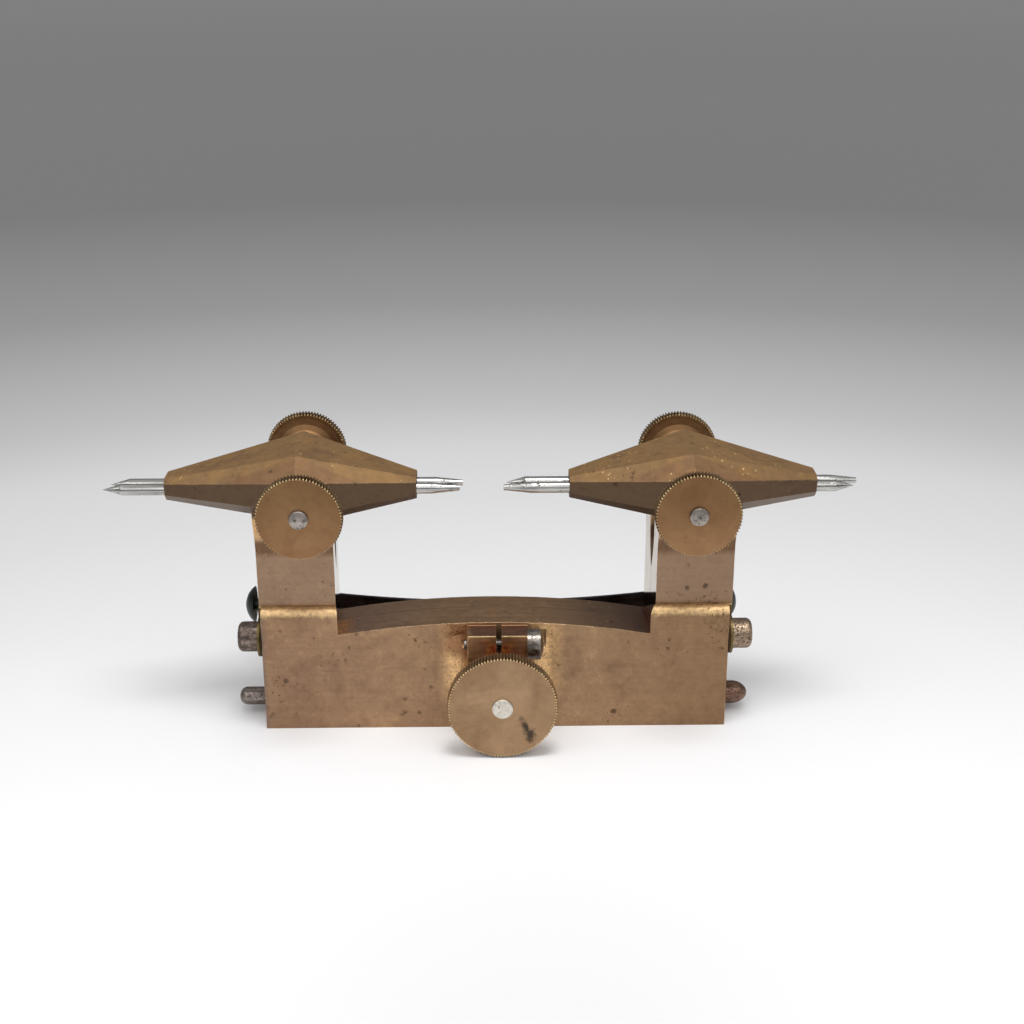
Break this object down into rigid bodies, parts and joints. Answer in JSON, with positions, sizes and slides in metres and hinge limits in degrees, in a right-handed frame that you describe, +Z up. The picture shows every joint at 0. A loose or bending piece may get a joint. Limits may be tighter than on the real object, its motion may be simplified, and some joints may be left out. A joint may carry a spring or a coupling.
{
  "type": "clock depthing tool",
  "caption": "Hinged brass clock depthing tool with paired sliding steel runners, knurled clamp knobs and an adjusting screw that opens the frames.",
  "frame": {"origin": "centre of the front frame's bottom face, on which the tool stands", "axes": "+X along the tool, to the right as seen from the adjusting knob; +Y from the front frame to the rear frame; +Z up"},
  "size_m": [0.207, 0.058, 0.0822],
  "materials": {
    "frame_brass": "aged, brushed brass with brown patina",
    "knob_brass": "turned brass with brown patina and a knurled rim",
    "stay_brass": "aged brass sheet",
    "runner_steel": "bright turned steel",
    "bright_steel": "bare turned steel",
    "worn_steel": "worn, spotted steel",
    "rusty_steel": "rusty, oil-darkened steel",
    "black_steel": "blackened steel",
    "spring_steel": "dark blued spring steel"
  },
  "bodies": {
    "base": {"front_frame": "frame_brass", "hinge_pin": "worn_steel", "boss_clamp_screw": "worn_steel", "left_stay": "stay_brass", "right_stay": "stay_brass", "stay_cap_screws": "rusty_steel", "bow_spring": "spring_steel"},
    "rear_half": {"rear_frame": "frame_brass", "thrust_button": "bright_steel", "stay_lock_screws": "black_steel", "spring_button": "bright_steel"},
    "adjuster_slide": {"adjusting_tip": "bright_steel"},
    "adjuster": {"adjusting_screw": "bright_steel", "adjusting_knob": "knob_brass"},
    "front_left_clamp_slide": {"front_left_clamp_pad": "stay_brass"},
    "front_left_clamp": {"front_left_clamp_screw": "bright_steel", "front_left_clamp_knob": "knob_brass"},
    "front_left_runner_bar": {"front_left_runner": "runner_steel"},
    "front_right_clamp_slide": {"front_right_clamp_pad": "stay_brass"},
    "front_right_clamp": {"front_right_clamp_screw": "bright_steel", "front_right_clamp_knob": "knob_brass"},
    "front_right_runner_bar": {"front_right_runner": "runner_steel"},
    "rear_left_clamp_slide": {"rear_left_clamp_pad": "stay_brass"},
    "rear_left_clamp": {"rear_left_clamp_screw": "bright_steel", "rear_left_clamp_knob": "knob_brass"},
    "rear_left_runner_bar": {"rear_left_runner": "runner_steel"},
    "rear_right_clamp_slide": {"rear_right_clamp_pad": "stay_brass"},
    "rear_right_clamp": {"rear_right_clamp_screw": "bright_steel", "rear_right_clamp_knob": "knob_brass"},
    "rear_right_runner_bar": {"rear_right_runner": "runner_steel"}
  },
  "joints": [
    {"name": "frame_hinge", "type": "hinge", "parent": "base", "child": "rear_half", "pos_m": [0, 0.00525, 0.005], "axis": [-1, 0, 0], "range_deg": [0, 25], "stiffness_Nm_per_rad": 0.6, "springref_deg": -34.38, "deforming": ["bow_spring"]},
    {"name": "adjuster_travel", "type": "slide", "parent": "base", "child": "adjuster_slide", "axis": [0, 1, 0], "range_m": [0, 0.0045]},
    {"name": "adjuster_spin", "type": "hinge", "parent": "adjuster_slide", "child": "adjuster", "pos_m": [0.0017, 0.00525, 0.0153], "axis": [0, 1, 0], "range_deg": [0, 1620]},
    {"name": "front_left_clamp_travel", "type": "slide", "parent": "base", "child": "front_left_clamp_slide", "axis": [0, -1, 0], "range_m": [0, 0.00097]},
    {"name": "front_left_clamp_spin", "type": "hinge", "parent": "front_left_clamp_slide", "child": "front_left_clamp", "pos_m": [-0.05085, 0.00525, 0.0704], "axis": [0, -1, 0], "range_deg": [0, 500]},
    {"name": "front_left_runner_slide", "type": "slide", "parent": "base", "child": "front_left_runner_bar", "axis": [-1, 0, 0], "range_m": [-0.006, 0.03]},
    {"name": "front_right_clamp_travel", "type": "slide", "parent": "base", "child": "front_right_clamp_slide", "axis": [0, -1, 0], "range_m": [0, 0.00097]},
    {"name": "front_right_clamp_spin", "type": "hinge", "parent": "front_right_clamp_slide", "child": "front_right_clamp", "pos_m": [0.05275, 0.00525, 0.0706], "axis": [0, -1, 0], "range_deg": [0, 500]},
    {"name": "front_right_runner_slide", "type": "slide", "parent": "base", "child": "front_right_runner_bar", "axis": [1, 0, 0], "range_m": [-0.005, 0.03]},
    {"name": "rear_left_clamp_travel", "type": "slide", "parent": "rear_half", "child": "rear_left_clamp_slide", "axis": [0, 1, 0], "range_m": [0, 0.00097]},
    {"name": "rear_left_clamp_spin", "type": "hinge", "parent": "rear_left_clamp_slide", "child": "rear_left_clamp", "pos_m": [-0.0541, 0.00525, 0.0708], "axis": [0, 1, 0], "range_deg": [0, 500]},
    {"name": "rear_left_runner_slide", "type": "slide", "parent": "rear_half", "child": "rear_left_runner_bar", "axis": [-1, 0, 0], "range_m": [-0.006, 0.03]},
    {"name": "rear_right_clamp_travel", "type": "slide", "parent": "rear_half", "child": "rear_right_clamp_slide", "axis": [0, 1, 0], "range_m": [0, 0.00097]},
    {"name": "rear_right_clamp_spin", "type": "hinge", "parent": "rear_right_clamp_slide", "child": "rear_right_clamp", "pos_m": [0.05315, 0.00525, 0.0702], "axis": [0, 1, 0], "range_deg": [0, 500]},
    {"name": "rear_right_runner_slide", "type": "slide", "parent": "rear_half", "child": "rear_right_runner_bar", "axis": [1, 0, 0], "range_m": [-0.005, 0.03]}
  ],
  "couplings": [
    {"joint": "adjuster_travel", "follows": "frame_hinge", "m_per_rad": 0.0102},
    {"joint": "adjuster_spin", "follows": "frame_hinge", "ratio": 64.09},
    {"joint": "front_left_clamp_spin", "follows": "front_left_clamp_travel", "rad_per_m": 8976},
    {"joint": "front_right_clamp_spin", "follows": "front_right_clamp_travel", "rad_per_m": 8976},
    {"joint": "rear_left_clamp_spin", "follows": "rear_left_clamp_travel", "rad_per_m": 8976},
    {"joint": "rear_right_clamp_spin", "follows": "rear_right_clamp_travel", "rad_per_m": 8976}
  ]
}
